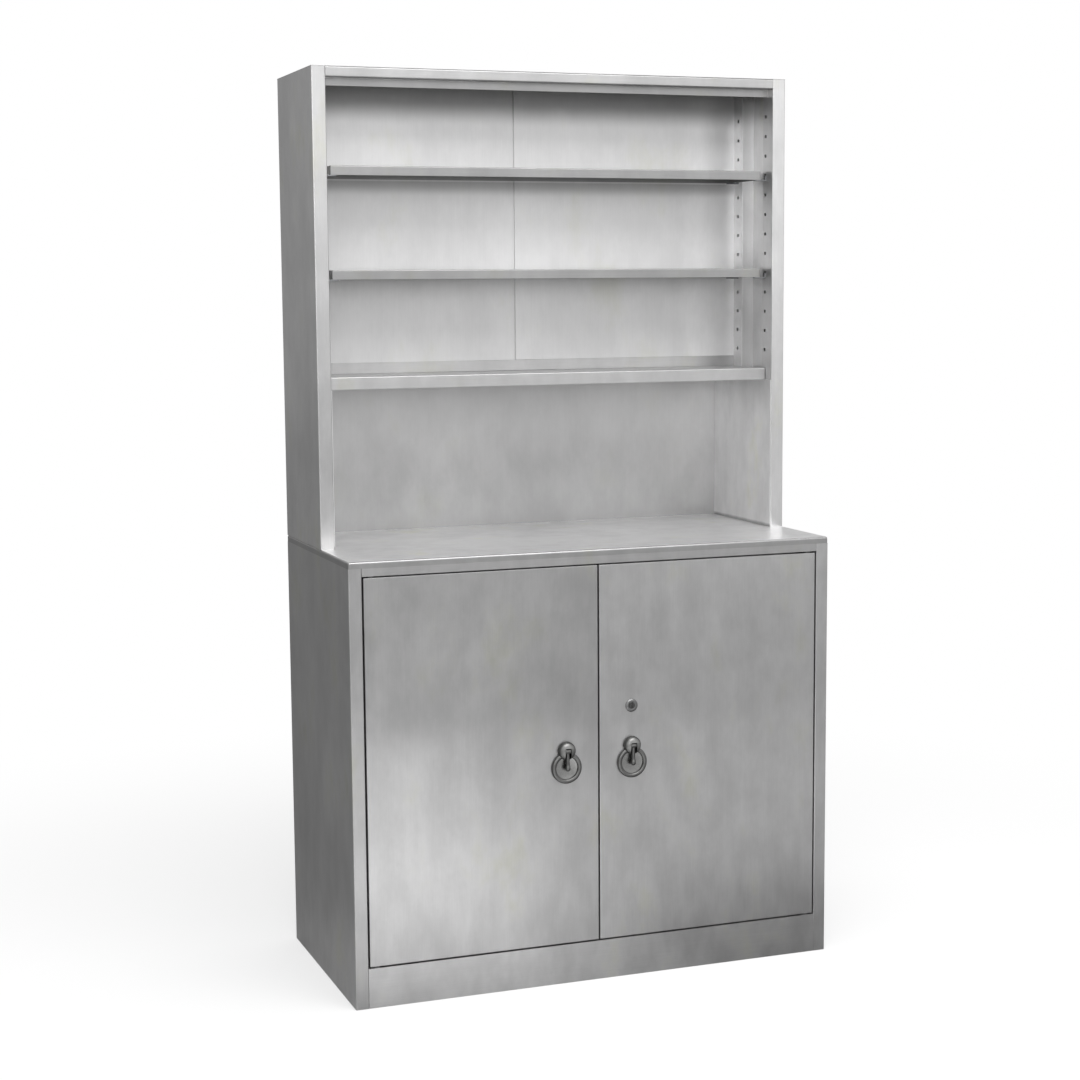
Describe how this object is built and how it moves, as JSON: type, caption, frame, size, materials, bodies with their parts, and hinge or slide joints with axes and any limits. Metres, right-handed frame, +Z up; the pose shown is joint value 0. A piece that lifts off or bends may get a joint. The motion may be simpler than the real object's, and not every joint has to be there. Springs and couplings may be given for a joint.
{
  "type": "medical cabinet",
  "caption": "Stainless steel cabinet for a clinic: a low two-door base with a worktop, and a shallower open shelf hutch standing on it.",
  "frame": {"origin": "middle of the overall box at floor level", "axes": "+Z up, -Y towards the front where the doors are, +X to the right as seen from the front"},
  "size_m": [1, 0.495, 1.785],
  "materials": {
    "stainless": "satin stainless sheet",
    "core_board": "raw particle board",
    "zinc": "zinc-plated steel",
    "cast_metal": "satin chromed casting",
    "pin_steel": "plain steel",
    "lock_chrome": "polished chrome",
    "rubber": "matte black rubber",
    "nylon": "moulded nylon"
  },
  "bodies": {
    "cabinet": {"base_left_side": "stainless", "base_right_side": "stainless", "base_back_panel": "stainless", "plinth": "stainless", "base_floor": "stainless", "base_head_rail": "stainless", "base_rear_rail": "stainless", "base_rear_posts": "stainless", "inner_shelf": "stainless", "worktop": "stainless", "hutch_left_side": "stainless", "hutch_right_side": "stainless", "niche_left_liner": "stainless", "niche_right_liner": "stainless", "hutch_rear_posts": "stainless", "hutch_back_panel": "stainless", "upper_back_left": "stainless", "upper_back_right": "stainless", "upper_back_batten": "stainless", "fixed_shelf": "stainless", "fixed_shelf_upstand": "stainless", "middle_shelf": "stainless", "upper_shelf": "stainless", "hutch_roof": "stainless", "hutch_roof_rail": "stainless", "hutch_feet": "stainless", "worktop_core": "core_board", "shelf_clips": "zinc", "joint_bolts": "zinc", "joint_nuts": "zinc", "door_bumpers": "rubber", "pivot_bushes": "nylon", "door_catches": "nylon"},
    "left_door": {"left_door_skin": "stainless", "left_door_liner": "stainless", "left_door_stiffener": "stainless", "left_door_pivots": "zinc", "left_door_strike": "zinc", "bolt_guides": "zinc", "left_pull_plate": "cast_metal", "left_pull_pin": "pin_steel"},
    "right_door": {"right_door_skin": "stainless", "right_door_liner": "stainless", "right_door_stiffener": "stainless", "right_door_pivots": "zinc", "right_door_strike": "zinc", "right_pull_plate": "cast_metal", "right_pull_pin": "pin_steel", "lock_housing": "lock_chrome", "lock_nut": "zinc"},
    "left_drop": {"left_pull_drop": "cast_metal"},
    "right_drop": {"right_pull_drop": "cast_metal"},
    "top_bolt": {"left_door_top_bolt": "zinc"},
    "bottom_bolt": {"left_door_bottom_bolt": "zinc"},
    "lock_core": {"lock_plug": "lock_chrome", "lock_cam": "zinc", "lock_screw": "zinc"}
  },
  "joints": [
    {"name": "left_door_hinge", "type": "hinge", "parent": "cabinet", "child": "left_door", "pos_m": [-0.456, -0.2245, 0.455], "axis": [0, 0, -1], "range_deg": [0, 110]},
    {"name": "right_door_hinge", "type": "hinge", "parent": "cabinet", "child": "right_door", "pos_m": [0.456, -0.2245, 0.455], "axis": [0, 0, 1], "range_deg": [0, 110]},
    {"name": "left_drop_hinge", "type": "hinge", "parent": "left_door", "child": "left_drop", "pos_m": [-0.069, -0.2415, 0.468], "axis": [-1, 0, 0], "range_deg": [0, 75]},
    {"name": "right_drop_hinge", "type": "hinge", "parent": "right_door", "child": "right_drop", "pos_m": [0.069, -0.2415, 0.468], "axis": [-1, 0, 0], "range_deg": [0, 75]},
    {"name": "top_bolt_slide", "type": "slide", "parent": "left_door", "child": "top_bolt", "axis": [0, 0, 1], "range_m": [0, 0.015]},
    {"name": "bottom_bolt_slide", "type": "slide", "parent": "left_door", "child": "bottom_bolt", "axis": [0, 0, -1], "range_m": [0, 0.015]},
    {"name": "lock_turn", "type": "hinge", "parent": "right_door", "child": "lock_core", "pos_m": [0.069, -0.2325, 0.547], "axis": [0, 1, 0], "range_deg": [0, 90]}
  ]
}
